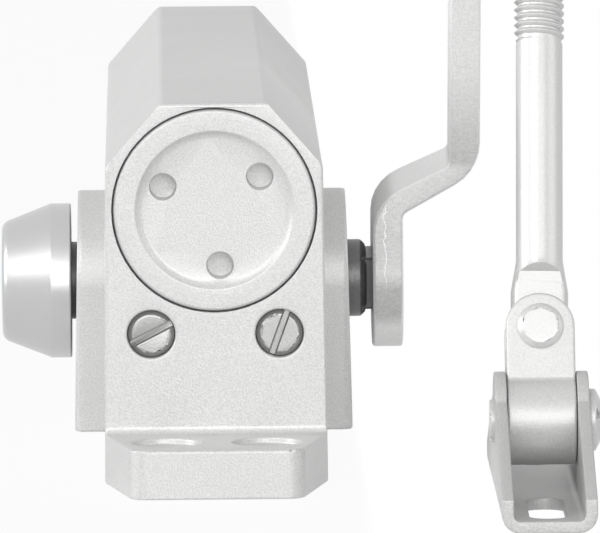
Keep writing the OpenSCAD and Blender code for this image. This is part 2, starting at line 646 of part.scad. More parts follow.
roller_d = (ring_bore_d - shaft_d) / 2 - fit;
roller_ring_r = (ring_bore_d + shaft_d) / 4;
module bearing_ring(side) color(steel) translate(pinion_at) mirror([side < 0 ? 1 : 0, 0, 0]) difference() {
    x_rod(bearing_d / 2, bearing_in, bearing_in + bearing_w);
    x_rod(ring_bore_d / 2, bearing_in - 1, bearing_in + bearing_w + 1);
}
module bearing_rollers(side) color(steel) translate(pinion_at) mirror([side < 0 ? 1 : 0, 0, 0])
    for (i = [0:rollers - 1]) rotate([360 / rollers * i, 0, 0]) translate([0, 0, roller_ring_r])
        x_rod(roller_d / 2, bearing_in + 0.4, bearing_in + bearing_w - 0.4, $fn = 24);
module shaft_seal(side) color(rubber) translate(pinion_at) mirror([side < 0 ? 1 : 0, 0, 0]) difference() {
    x_rod(bearing_d / 2, seal_in, seal_in + shaft_seal_w);
    x_rod(shaft_r + fit, seal_in - 1, seal_in + shaft_seal_w + 1);
}
module gland(side) color(dark_steel) translate(pinion_at) mirror([side < 0 ? 1 : 0, 0, 0]) difference() {
    x_rod(gland_d / 2, gland_in, gland_out);
    x_rod(shaft_r + 2 * fit, gland_in - 1, gland_out + 1);
    for (i = [-1, 1]) translate([0, 0, i * (gland_d + shaft_d) / 4]) x_rod(1.1, gland_out - 1.8, gland_out + 1);
}

module pinion_cap() color(silver) translate(pinion_at) difference() {
    x_turned() polygon(rounded([
        [0, -cap_in, 0], [cap_d / 2, -cap_in, 0.4], [cap_d / 2, -cap_in - cap_rim, 0.5],
        [cap_face_d / 2, -cap_in - cap_l, cap_edge_r], [0, -cap_in - cap_l, 0]]));
    x_rod(shaft_r + fit, -shaft_left - seat_gap, 0);
}

// A valve screw, drawn with the end face at z = 0 and the screw below.
module valve_screw(slot_angle) difference() {
    rotate_extrude() polygon([
        [0, -valve_recess], [valve_head_r - 0.9, -valve_recess], [valve_head_r, -valve_recess - 0.9],
        [valve_head_r, -valve_recess - valve_head_l], [valve_stem_r, -valve_recess - valve_head_l],
        [valve_stem_r, -valve_seal_at + 0.7], [valve_stem_r - valve_seal_d, -valve_seal_at + 0.7],
        [valve_stem_r - valve_seal_d, -valve_seal_at - 0.7], [valve_stem_r, -valve_seal_at - 0.7],
        [valve_stem_r, -valve_bore_end + valve_tip_l + 2],
        [oilway_d / 2 - fit, -valve_bore_end + valve_tip_l],
        [0.3, -valve_bore_end], [0, -valve_bore_end]]);
    rotate(slot_angle) translate([-valve_hole_d, -valve_slot_w / 2, -valve_recess - 1.5])
        cube([2 * valve_hole_d, valve_slot_w, 3]);
}
module valve_seal() translate([0, 0, -valve_seal_at]) rotate_extrude()
    translate([valve_bore_r - valve_seal_d / 2 - 0.03, 0]) circle(d = valve_seal_d, $fn = 24);
module at_valve(side) translate([side * valve_x, -end_y, valve_z]) rotate([90, 0, 0]) children();
module sweep_valve_screw() color(steel) at_valve(-1) valve_screw(sweep_slot_angle);
module latch_valve_screw() color(steel) at_valve(1) valve_screw(latch_slot_angle);
module sweep_valve_seal() color(rubber) at_valve(-1) valve_seal();
module latch_valve_seal() color(rubber) at_valve(1) valve_seal();

// The arm: a forged bar whose edge view steps outwards and whose side view tapers from the hub.
arm_top = arm_l + elbow_r;
outer_bend_z = step_z + step_rise * 0.87;
inner_bend_z = step_z + step_rise * 0.24;
function arm_edge(x, z) = x + tan(arm_splay) * (z - bend_z);
module arm_edge_view() polygon(rounded([
    [arm_x, -hub_r, 0], [arm_x + arm_t, -hub_r, 0], [arm_x + arm_t, step_z, tight_bend_r],
    [arm_edge(arm_x + arm_step + arm_t, outer_bend_z), outer_bend_z, wide_bend_r],
    [arm_edge(arm_x + arm_step + arm_t, arm_top), arm_top, 0],
    [arm_edge(arm_x + arm_step, arm_top), arm_top, 0],
    [arm_edge(arm_x + arm_step, bend_z), bend_z, tight_bend_r],
    [arm_x, inner_bend_z, wide_bend_r]]));
module arm_side_view() {
    circle(r = hub_r);
    translate([0, arm_l]) circle(r = elbow_r);
    polygon([[-hub_r, 0], [hub_r, 0], [arm_w / 2 + 0.4, bend_z], [arm_w / 2, step_z + bend_z],
             [arm_w / 2 - 1, arm_l], [1 - arm_w / 2, arm_l], [-arm_w / 2, step_z + bend_z],
             [-arm_w / 2 - 0.4, bend_z]]);
}
arm_screw_head_r = 8.6;
arm_screw_head_t = 1.6;
module main_arm() color(cast_silver) difference() {
    at_pinion() intersection() {
        along_y(-hub_r, hub_r) arm_edge_view();
        along_x(0, elbow_at[0] + big) arm_side_view();
    }
    at_pinion() {
        translate([arm_x - 1, -square_w / 2 - fit, -square_w / 2 - fit])
            cube([arm_t + 2, square_w + 2 * fit, square_w + 2 * fit]);
        x_rod(arm_screw_head_r + fit, arm_x + arm_t - arm_screw_head_t - seat_gap, arm_x + arm_t + 4);
    }
    at_elbow() x_rod(elbow_pin_d / 2 + fit, -arm_t, arm_t);
}
module arm_screw() color(steel) at_pinion() difference() {
    union() {
        x_rod(arm_screw_head_r, arm_x + arm_t - arm_screw_head_t, arm_x + arm_t - 0.1);
        x_rod(arm_screw_d / 2, square_end - arm_screw_l, arm_x + arm_t - arm_screw_head_t + eps);
    }
    translate([arm_x + arm_t - 1.2, 0, 0]) rotate([0, 90, 0]) cylinder(d = 4 / cos(30), h = 3, $fn = 6);
}

// The elbow: a shoulder screw that carries the forearm's eye on the outer side of the arm.
arm_half = arm_t / 2;
eye_in = rod_offset - eye_t / 2;
eye_out = rod_offset + eye_t / 2;
elbow_head_r = 9.5;
elbow_head_t = 4;
elbow_nut_w = 16;
elbow_nut_t = 5;
module elbow_screw() color(steel) at_elbow() difference() {
    union() {
        x_rod(elbow_pin_d / 2, -arm_half - elbow_nut_t - 1, eye_out + seat_gap + eps);
        x_turned() polygon([
            [0, eye_out + seat_gap], [elbow_head_r, eye_out + seat_gap],
            [elbow_head_r, eye_out + seat_gap + elbow_head_t * 0.5],
            [elbow_head_r - 2.5, eye_out + seat_gap + elbow_head_t], [0, eye_out + seat_gap + elbow_head_t]]);
    }
    translate([eye_out + seat_gap + elbow_head_t - 2.5, 0, 0]) rotate([0, 90, 0])
        cylinder(d = 6 / cos(30), h = 4, $fn = 6);
}
module elbow_spacer() color(steel) at_elbow() difference() {
    x_rod(elbow_r - 1, arm_half + seat_gap, eye_in - seat_gap);
    x_rod(elbow_pin_d / 2 + fit, 0, eye_in + 1);
}
module elbow_nut() color(steel) at_elbow() difference() {
    translate([-arm_half - seat_gap, 0, 0]) rotate([0, -90, 0])
        cylinder(d = elbow_nut_w / cos(30), h = elbow_nut_t, $fn = 6);
    x_rod(elbow_pin_d / 2 + fit, -arm_half - elbow_nut_t - 2, 0);
}

tube_r = tube_d / 2;
thread_r = thread_d / 2;
eye_neck = eye_r + 5;
tube_end = forearm_l - eye_neck;
module forearm_tube() color(silver) difference() {
    union() {
        at_forearm() rotate_extrude() polygon([
            [0, tube_start], [tube_r - 0.8, tube_start], [tube_r, tube_start + 0.8], [tube_r, tube_end],
            [0, tube_end + 3]]);
        at_eye() {
            x_rod(eye_r, -eye_t / 2, eye_t / 2);
            along_x(-eye_t / 2, eye_t / 2) polygon([
                [-tube_r, -eye_neck - 12], [tube_r, -eye_neck - 12], [eye_r - 1, 0], [1 - eye_r, 0]]);
        }
    }
    at_forearm() translate([0, 0, tube_start - 1])
        cylinder(r = thread_r + fit, h = rod_end + rod_adjust + 3 - tube_start);
    at_eye() x_rod(elbow_pin_d / 2 + fit, -eye_t, eye_t);
}
module jam_nut() color(steel) at_forearm() translate([0, 0, tube_start - seat_gap - jam_nut_t]) difference() {
    cylinder(d = jam_nut_w / cos(30), h = jam_nut_t, $fn = 6);
    translate([0, 0, -1]) cylinder(r = thread_r + fit, h = jam_nut_t + 2);
}

// The rod: a tongue milled flat on both sides, a flared neck, a round shank and a thread,
// given over its crests. The milling cutter runs out of the neck at a slope.
shank_u = rivet_u + neck_l;
flare_u = shank_u - flare_l;
flat_u = shank_u - flat_stop;
tongue_r = flare_d / 2;
rod_r = rod_d / 2;
module mill_cut() along_x(-flare_d, flare_d) polygon([
    [tongue_t / 2, 0], [tongue_t / 2, flat_u], [tongue_t / 2 + 2.4, flat_u + 2],
    [flare_d, flat_u + 2], [flare_d, 0]]);
module forearm_rod() color(silver) at_forearm() difference() {
    union() {
        rotate_extrude() polygon([
            [0, rivet_u], [tongue_r, rivet_u], [tongue_r, flare_u], [rod_r + 0.35, shank_u - 1.2],
            [rod_r, shank_u + 1], [rod_r, thread_start], [thread_r, thread_start + 0.8],
            [thread_r, rod_end - 1], [thread_r - 1, rod_end], [0, rod_end]]);
        translate([0, 0, rivet_u]) y_rod(tongue_r, -tongue_t / 2, tongue_t / 2);
    }
    mill_cut();
    mirror([0, 1, 0]) mill_cut();
    translate([0, 0, rivet_u]) y_rod(rivet_d / 2 + fit, -tongue_t, tongue_t);
}

cheek_gap = tongue_t / 2 + seat_gap;
cheek_r = knuckle_w / 2;
module knuckle() color(silver) at_knuckle() difference() {
    union() {
        x_rod(barrel_r, -cheek_r, cheek_r);
        translate([0, knuckle_depth / 2, 0]) rotate([90, 0, 0]) linear_extrude(knuckle_depth) union() {
            translate([0, rivet_u]) circle(r = cheek_r);
            translate([-cheek_r, 0]) square([2 * cheek_r, rivet_u]);
        }
    }
    x_rod(shoe_pin_d / 2 + fit, -knuckle_w, knuckle_w);
    translate([-knuckle_w, -cheek_gap, rivet_u - tongue_r - 1.2])
        cube([2 * knuckle_w, 2 * cheek_gap, knuckle_w * 2]);
    translate([0, 0, rivet_u]) y_rod(rivet_d / 2 + fit, -knuckle_depth, knuckle_depth);
}
rivet_head_t = 1.1;
module knuckle_rivet() color(steel) at_knuckle() translate([0, 0, rivet_u]) {
    y_rod(rivet_d / 2, -knuckle_depth / 2 - seat_gap, knuckle_depth / 2 + seat_gap);
    for (side = [-1, 1]) rotate([side * 90, 0, 0]) translate([0, 0, knuckle_depth / 2 + 0.02])
        rotate_extrude() polygon([
            [0, 0], [rivet_head_d / 2, 0], [rivet_head_d / 2, 0.3], [rivet_head_d / 2 - 1, rivet_head_t],
            [0, rivet_head_t]]);
}

// The shoe: sheet steel bent to a channel, with an ear for the pin on each side.
shoe_in = knuckle_w / 2 + seat_gap * 1.5;
shoe_out = shoe_in + shoe_t;
ear_top = shoe_pin_z + ear_r;
module shoe_section() polygon(rounded([
    [-shoe_out, 0, shoe_bend_r + shoe_t], [shoe_out, 0, shoe_bend_r + shoe_t], [shoe_out, ear_top, 0],
    [shoe_in, ear_top, 0], [shoe_in, shoe_t, shoe_bend_r], [-shoe_in, shoe_t, shoe_bend_r],
    [-shoe_in, ear_top, 0], [-shoe_out, ear_top, 0]]));
// Each sloping edge of an ear runs into its round top just above the point where it would touch it.
ear_rise = shoe_pin_z - ear_end_z;
ear_meets = 90 + atan2(ear_rise, shoe_l / 2) - acos(ear_r / norm([shoe_l / 2, ear_rise])) + 5;
module shoe_side_view() {
    translate([0, shoe_pin_z]) circle(r = ear_r);
    polygon([[-shoe_l / 2, 0], [shoe_l / 2, 0], [shoe_l / 2, ear_end_z],
             [ear_r * cos(ear_meets), shoe_pin_z + ear_r * sin(ear_meets)],
             [-ear_r * cos(ear_meets), shoe_pin_z + ear_r * sin(ear_meets)], [-shoe_l / 2, ear_end_z]]);
}
module shoe_slot() translate([0, -slot_y, -1]) {
    for (end = [-1, 1]) translate([0, end * slot_l / 2, 0]) cylinder(d = slot_w, h = shoe_t + 2);
    translate([-slot_w / 2, -slot_l / 2, 0]) cube([slot_w, slot_l, shoe_t + 2]);
}
module shoe_bracket() color(silver) at_shoe() translate([0, 0, -shoe_pin_z]) difference() {
    intersection() {
        along_y(-shoe_l / 2, shoe_l / 2) shoe_section();
        along_x(-shoe_out, shoe_out) shoe_side_view();
    }
    translate([0, 0, shoe_pin_z]) x_rod(shoe_pin_d / 2 + fit, -big / 2, big / 2);
    shoe_slot();
    translate([0, rear_hole_y, -1]) cylinder(d = rear_hole_d, h = shoe_t + 2);
}
module shoe_pin() color(steel) at_shoe() difference() {
    union() {
        x_rod(shoe_pin_d / 2, -shoe_out - 0.8, shoe_out + seat_gap + eps);
        x_turned() polygon(rounded([
            [0, shoe_out + seat_gap, 0], [shoe_head_d / 2, shoe_out + seat_gap, 0],
            [shoe_head_d / 2, shoe_out + seat_gap + shoe_head_t / 2, 0.6],
            [shoe_head_d / 3, shoe_out + seat_gap + shoe_head_t * 0.92, 2],
            [0, shoe_out + seat_gap + shoe_head_t, 0]]));
    }
    rotate([-20, 0, 0]) translate([shoe_out + seat_gap + shoe_head_t - 1.1, -shoe_head_d, -0.6])
        cube([3, 2 * shoe_head_d, 1.2]);
}

body_casting();
valve_end_plug();
valve_end_seal();
spring_end_plug();
spring_end_seal();
power_adjuster();
power_adjuster_seal();
spring_seat();
main_spring();
piston();
check_ball();
check_ball_retainer();
pinion_shaft();
bearing_ring(-1);  // left_bearing_ring
bearing_ring(1);  // right_bearing_ring
bearing_rollers(-1);  // left_bearing_rollers
bearing_rollers(1);  // right_bearing_rollers
shaft_seal(-1);  // left_shaft_seal
shaft_seal(1);  // right_shaft_seal
gland(-1);  // left_gland
gland(1);  // right_gland
pinion_cap();
sweep_valve_screw();
sweep_valve_seal();
latch_valve_screw();
latch_valve_seal();
main_arm();
arm_screw();
elbow_screw();
elbow_spacer();
elbow_nut();
forearm_tube();
jam_nut();
forearm_rod();
knuckle();
knuckle_rivet();
shoe_bracket();
shoe_pin();
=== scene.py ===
"""Hydraulic door closer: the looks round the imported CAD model. Everything is in metres, in the model's own frame."""

import json
import math

import bmesh
import bpy
from mathutils import Matrix, Vector


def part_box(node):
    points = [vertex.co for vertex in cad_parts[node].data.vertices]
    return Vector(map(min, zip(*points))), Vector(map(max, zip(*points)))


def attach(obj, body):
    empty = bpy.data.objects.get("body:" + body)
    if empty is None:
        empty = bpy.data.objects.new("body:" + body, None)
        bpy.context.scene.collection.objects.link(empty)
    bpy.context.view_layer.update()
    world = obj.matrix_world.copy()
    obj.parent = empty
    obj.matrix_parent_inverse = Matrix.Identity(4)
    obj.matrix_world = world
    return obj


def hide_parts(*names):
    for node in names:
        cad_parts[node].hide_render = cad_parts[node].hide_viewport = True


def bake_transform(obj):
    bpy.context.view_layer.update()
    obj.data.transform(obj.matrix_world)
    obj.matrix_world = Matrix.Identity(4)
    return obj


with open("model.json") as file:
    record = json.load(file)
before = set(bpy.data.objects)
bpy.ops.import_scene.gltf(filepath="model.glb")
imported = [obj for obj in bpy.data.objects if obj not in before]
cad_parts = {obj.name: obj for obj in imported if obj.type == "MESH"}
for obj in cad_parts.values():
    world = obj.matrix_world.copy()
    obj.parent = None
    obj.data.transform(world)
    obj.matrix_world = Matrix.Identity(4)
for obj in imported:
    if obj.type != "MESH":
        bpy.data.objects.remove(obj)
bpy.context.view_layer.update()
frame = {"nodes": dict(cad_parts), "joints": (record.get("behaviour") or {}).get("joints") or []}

# The photographer's view: a long lens about two metres away, a little above the closer,
# looking along its body at the valve end. It was fitted to the outlines in the photo.
PHOTO_WIDTH = 600
SENSOR = 36.0
FOCAL_PX = 10672.0
AIM = Vector((0.01616, -0.103, 0.04123))
AWAY = 2.025
PITCH, YAW, ROLL = (math.radians(angle) for angle in (6.57, -0.80, -0.46))
NEAREST, FARTHEST = 0.05, 60


def in_scene(name, data):
    """Puts a mesh, a lamp or a camera into the scene as an object of its own."""
    thing = bpy.data.objects.new(name, data)
    bpy.context.scene.collection.objects.link(thing)
    return thing


ahead = Matrix.Rotation(YAW, 3, "Z") @ Vector((0, math.cos(PITCH), -math.sin(PITCH)))
level = Matrix.Rotation(YAW, 3, "Z") @ Vector((1, 0, 0))
upright = level.cross(ahead)
cam_up = math.cos(ROLL) * upright - math.sin(ROLL) * level
cam_right = math.cos(ROLL) * level + math.sin(ROLL) * upright
camera = in_scene("camera", bpy.data.cameras.new("camera"))
camera.data.sensor_fit = "HORIZONTAL"
camera.data.sensor_width = SENSOR
camera.data.lens = FOCAL_PX / PHOTO_WIDTH * SENSOR
camera.data.clip_start, camera.data.clip_end = NEAREST, FARTHEST
place = Matrix((cam_right, cam_up, -ahead)).transposed().to_4x4()
place.translation = AIM - ahead * AWAY
camera.matrix_world = place
bpy.context.scene.camera = camera
bpy.context.scene.view_settings.view_transform = "Standard"


# The studio: a white room with four soft lamps. The closer stands at the edge of a pale table, which keeps its
# shadow. The arm's side is past the edge, so an arm that swings below the table still shows.
WHITE = (1, 1, 1, 1)
WORLD_LEVEL = 0.2
TABLE_COLOUR = (0.86, 0.86, 0.86, 1)
TABLE_GLOW = 0.93
TABLE_SIDE, TABLE_DROP = 6.0, 0.0002
TABLE_EDGE, TABLE_EDGE_SOFT = 0.0268, 0.002
LAMPS_AIM = Vector((0.02, -0.03, 0.05))
LAMPS = {  # place, side and power of each
    "key_left": ((-1.1, -1.9, 1.3), 1.5, 18.5),
    "front": ((0.4, -2.6, 0.7), 1.6, 26.0),
    "left": ((-2.2, -0.3, 0.8), 1.4, 23.0),
    "right": ((2.0, -0.8, 0.9), 1.4, 6.0),
}


def wire(tree, kind, inputs=None, **settings):
    """Adds a node to a tree; each input is a value or an output socket of another node."""
    node = tree.nodes.new(kind)
    for key, value in settings.items():
        setattr(node, key, value)
    for key, value in (inputs or {}).items():
        if isinstance(value, bpy.types.NodeSocket):
            tree.links.new(value, node.inputs[key])
        else:
            node.inputs[key].default_value = value
    return node


def maths(tree, operation, a, b=0.0):
    """The result of a sum on two values or sockets."""
    return wire(tree, "ShaderNodeMath", {0: a, 1: b}, operation=operation).outputs[0]


def span(tree, value, low, high, at_low=0.0, at_high=1.0, **settings):
    """Carries a value from one span to another, and holds it at the ends."""
    ends = {"From Min": low, "From Max": high, "To Min": at_low, "To Max": at_high}
    return wire(tree, "ShaderNodeMapRange", {"Value": value, **ends}, **settings).outputs[0]


def seen_or_lit(tree, lit, seen):
    """Joins a white that camera, mirror and glass rays see to a plainer one that lights the object."""
    ray = wire(tree, "ShaderNodeLightPath").outputs
    sees = maths(tree, "MAXIMUM", ray["Is Camera Ray"], ray["Is Glossy Ray"])
    sees = maths(tree, "MAXIMUM", sees, ray["Is Transmission Ray"])
    return wire(tree, "ShaderNodeMixShader", {0: sees, 1: lit.outputs[0], 2: seen.outputs[0]}).outputs[0]


world = bpy.data.worlds.new("studio")
bpy.context.scene.world = world
world.use_nodes = True
tree = world.node_tree
tree.nodes.clear()
world_lit = wire(tree, "ShaderNodeBackground", {"Color": WHITE, "Strength": WORLD_LEVEL})
world_seen = wire(tree, "ShaderNodeBackground", {"Color": WHITE, "Strength": 1.0})
wire(tree, "ShaderNodeOutputWorld", {"Surface": seen_or_lit(tree, world_lit, world_seen)})

table_paint = bpy.data.materials.new("white_table")
table_paint.use_nodes = True
tree = table_paint.node_tree
tree.nodes.clear()
plain = wire(tree, "ShaderNodeBsdfDiffuse", {"Color": TABLE_COLOUR})
glow = wire(tree, "ShaderNodeEmission", {"Color": WHITE, "Strength": 1.0})
soft = wire(tree, "ShaderNodeMixShader", {0: TABLE_GLOW, 1: plain.outputs[0], 2: glow.outputs[0]})
ray = wire(tree, "ShaderNodeLightPath").outputs
across = wire(tree, "ShaderNodeSeparateXYZ", {0: wire(tree, "ShaderNodeTexCoord").outputs["Object"]}).outputs["X"]
past_edge = span(tree, across, TABLE_EDGE, TABLE_EDGE + TABLE_EDGE_SOFT)
gone = maths(tree, "MULTIPLY", past_edge, maths(tree, "MAXIMUM", ray["Is Camera Ray"], ray["Is Shadow Ray"]))
clear = wire(tree, "ShaderNodeBsdfTransparent")
sheet = wire(tree, "ShaderNodeMixShader", {0: gone, 1: seen_or_lit(tree, plain, soft), 2: clear.outputs[0]})
wire(tree, "ShaderNodeOutputMaterial", {"Surface": sheet.outputs[0]})

table_mesh = bpy.data.meshes.new("table")
corners = [(x * TABLE_SIDE, y * TABLE_SIDE, 0) for x, y in ((-1, -1), (1, -1), (1, 1), (-1, 1))]
table_mesh.from_pydata(corners, [], [(0, 1, 2, 3)])
table_mesh.materials.append(table_paint)
table = in_scene("table", table_mesh)
table.location.z = -TABLE_DROP

for name, (spot, side, power) in LAMPS.items():
    lamp = in_scene(name, bpy.data.lights.new(name, "AREA"))
    lamp.data.energy, lamp.data.size = power, side
    lamp.location = spot
    lamp.rotation_euler = (LAMPS_AIM - Vector(spot)).to_track_quat("-Z", "Y").to_euler()


# The body is one aluminium casting with the bore, both bosses and both feet. It is machined where it bears and
# then sprayed with a silver metallic lacquer, whose flakes show as a fine grain. Its edges are rounded a little,
# and least round the end plug, where the face is cut after casting.
CAST_COLOUR = (0.67, 0.67, 0.665)
CAST_EDGE = 0.00045
PLUG_RIM, PLUG_RIM_SHARE = 0.001, 0.3
TOP_FROM, BOSS_OUT, FOOT_TOP = 0.066, 0.0252, 0.012
NOISE_LOW, NOISE_HIGH = 0.3, 0.7
CLOUD_SCALE = 45.0
SAME_POINT, SLIVER, THIN_FACE = 3e-6, 4e-5, 3e-5
SHARP = math.radians(28.0)


def metal(name, colour, roughness, metallic=0.0, specular=0.5, grain=0.0, grain_size=0.0003, cloud=0.02,
          bump=0.0, spread=0.06):
    """A metal or paint with a fine grain in its colour, gloss and surface, read from Object coordinates."""
    paint = bpy.data.materials.new(name)
    paint.use_nodes = True
    tree = paint.node_tree
    shader = tree.nodes["Principled BSDF"]
    place = wire(tree, "ShaderNodeTexCoord").outputs["Object"]
    fine = wire(tree, "ShaderNodeTexNoise", {"Vector": place, "Scale": 1 / grain_size, "Detail": 1.0, "Roughness": 0.5})
    wide = wire(tree, "ShaderNodeTexNoise", {"Vector": place, "Scale": CLOUD_SCALE, "Detail": 2.0})

    def about(noise, middle, by):
        return span(tree, noise.outputs["Fac"], NOISE_LOW, NOISE_HIGH, middle - by, middle + by)

    level = maths(tree, "MULTIPLY", about(fine, 1.0, grain), about(wide, 1.0, cloud))
    tint = wire(tree, "ShaderNodeVectorMath", {0: colour, "Scale": level}, operation="SCALE")
    tree.links.new(tint.outputs["Vector"], shader.inputs["Base Color"])
    tree.links.new(about(fine, roughness, spread), shader.inputs["Roughness"])
    shader.inputs["Metallic"].default_value = metallic
    shader.inputs["Specular IOR Level"].default_value = specular
    if bump:
        relief = {"Height": fine.outputs["Fac"], "Strength": bump, "Distance": grain_size}
        tree.links.new(wire(tree, "ShaderNodeBump", relief).outputs["Normal"], shader.inputs["Normal"])
    return paint


def dressed(node, body, paint, edge, segments=2, share=None):
    """A copy of a CAD node's mesh, its doubles merged and its sharp edges rounded, which stands for the node."""
    mesh = frame["nodes"][node].data.copy()
    mesh.name = node + "_dressed"
    mesh.materials.clear()
    work = bmesh.new()
    work.from_mesh(mesh)
    bmesh.ops.remove_doubles(work, verts=work.verts, dist=SAME_POINT)
    bmesh.ops.dissolve_degenerate(work, edges=work.edges, dist=SLIVER)
    bmesh.ops.recalc_face_normals(work, faces=work.faces)
    rounded = work.edges.layers.float.new("bevel_weight_edge")
    thin = {face for face in work.faces
            if 2 * face.calc_area() < THIN_FACE * max(side.calc_length() for side in face.edges)}
    for side in work.edges:
        if len(side.link_faces) == 2 and side.calc_face_angle(0) > SHARP:
            middle = (side.verts[0].co + side.verts[1].co) / 2
            side[rounded] = 0.0 if thin.intersection(side.link_faces) else share(middle) if share else 1.0
            side.smooth = side[rounded] > 0
    work.to_mesh(mesh)
    work.free()
    mesh.shade_smooth()
    mesh.materials.append(paint)
    piece = in_scene(node + "_dressed", mesh)
    bevel = piece.modifiers.new("edges", "BEVEL")
    bevel.width, bevel.segments = edge, segments
    bevel.limit_method = "WEIGHT"
    bevel.use_clamp_overlap = False
    bevel.loop_slide = False
    shading = piece.modifiers.new("flat_faces", "WEIGHTED_NORMAL")
    shading.mode, shading.keep_sharp = "FACE_AREA_WITH_ANGLE", True
    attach(piece, body)
    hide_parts(node)
    return piece


plug_low, plug_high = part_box("valve_end_plug")
plug_x, plug_z = ((plug_low[axis] + plug_high[axis]) / 2 for axis in (0, 2))
plug_radius = (plug_high[0] - plug_low[0]) / 2


def cast_share(spot):
    """The share of the edge's width at a spot: little round the plug, none where the solid is round already."""
    if math.hypot(spot.x - plug_x, spot.z - plug_z) < plug_radius + PLUG_RIM:
        return PLUG_RIM_SHARE
    return 0.0 if spot.z > TOP_FROM or (abs(spot.x) > BOSS_OUT and spot.z > FOOT_TOP) else 1.0


cast_silver = metal("cast_silver", CAST_COLOUR, roughness=0.36, metallic=0.22, specular=0.35, grain=0.09,
                    grain_size=0.00035, bump=0.12)
dressed("body_casting", "housing", cast_silver, CAST_EDGE, segments=3, share=cast_share)


# Each end plug is turned from bar, screwed into the bore with a pin spanner and sprayed together with the body.
# The one at the valve end has a shallow dish with the spanner's three holes.
PLUG_EDGE = 0.0002
dressed("valve_end_plug", "housing", cast_silver, PLUG_EDGE)
dressed("spring_end_plug", "housing", cast_silver, PLUG_EDGE)


# The seals are moulded from nitrile rubber. O-rings sit in grooves on both plugs, both valve screws and the
# power adjuster, and a lip seal runs on the shaft at each side.
RUBBER_COLOUR = (0.022, 0.022, 0.023)
rubber = metal("nitrile_rubber", RUBBER_COLOUR, roughness=0.62, grain=0.25, grain_size=0.0004, bump=0.3)


def coated(paint, *nodes):
    """Gives a finish to CAD nodes whose own mesh is right as it is."""
    for node in nodes:
        mesh = frame["nodes"][node].data
        mesh.materials.clear()
        mesh.materials.append(paint)


coated(rubber, "valve_end_seal", "spring_end_seal", "power_adjuster_seal", "sweep_valve_seal", "latch_valve_seal",
       "left_shaft_seal", "right_shaft_seal")


# The two regulating screws are turned from steel, slotted for a screwdriver and zinc plated.
# Their cones close the oil's passages for the sweep and for the latch.
ZINC_COLOUR = (0.42, 0.42, 0.41)
TURNED_EDGE = 0.0002
zinc_plate = metal("zinc_plate", ZINC_COLOUR, roughness=0.34, metallic=0.75, grain=0.05, grain_size=0.0004,
                   cloud=0.06, bump=0.08)
dressed("sweep_valve_screw", "sweep_valve", zinc_plate, TURNED_EDGE)
dressed("latch_valve_screw", "latch_valve", zinc_plate, TURNED_EDGE)


# The piston is hardened steel, ground to fit the bore, with the rack cut into its side. The spring's moving seat,
# the check valve's ball and the ring that keeps the ball in are of the same steel.
GROUND_COLOUR = (0.46, 0.46, 0.48)
GROUND_EDGE = 0.00025
ground_steel = metal("ground_steel", GROUND_COLOUR, roughness=0.24, metallic=1.0, grain=0.05, grain_size=0.0002,
                     cloud=0.05, bump=0.05)
dressed("piston", "piston", ground_steel, GROUND_EDGE)
dressed("spring_seat", "spring_seat", ground_steel, GROUND_EDGE)
coated(ground_steel, "check_ball", "check_ball_retainer")


# The power adjuster is a steel screw with a hexagon socket, zinc plated as the valves are.
# It passes through the end plug and pushes the spring's seat.
dressed("power_adjuster", "power_adjuster", zinc_plate, TURNED_EDGE)


# The closing spring is wound from round wire, black from its heat treatment. It is a profile swept along a helix
# whose first and last turns lie close, as on a spring with closed ends.
SPRING_COLOUR = (0.055, 0.055, 0.06)
SPRING_WIRE, SPRING_TURNS, CLOSED_TURN = 0.0042, 6.5, 1.15
SPRING_STEPS, SPRING_SIDES, SPRING_RUN_OUT = 40, 14, 0.001
HELIX_SIZES = ("Path Radius", "Turns", "Steps per Turn", "Height", "End Turn Height", "Profile Sides",
               "Profile Depth", "Profile Width", "Profile Inset", "Fillet", "Run-out")
HELIX_COUNTS = ("Steps per Turn", "Profile Sides")
HELIX_THIN_END = 0.02


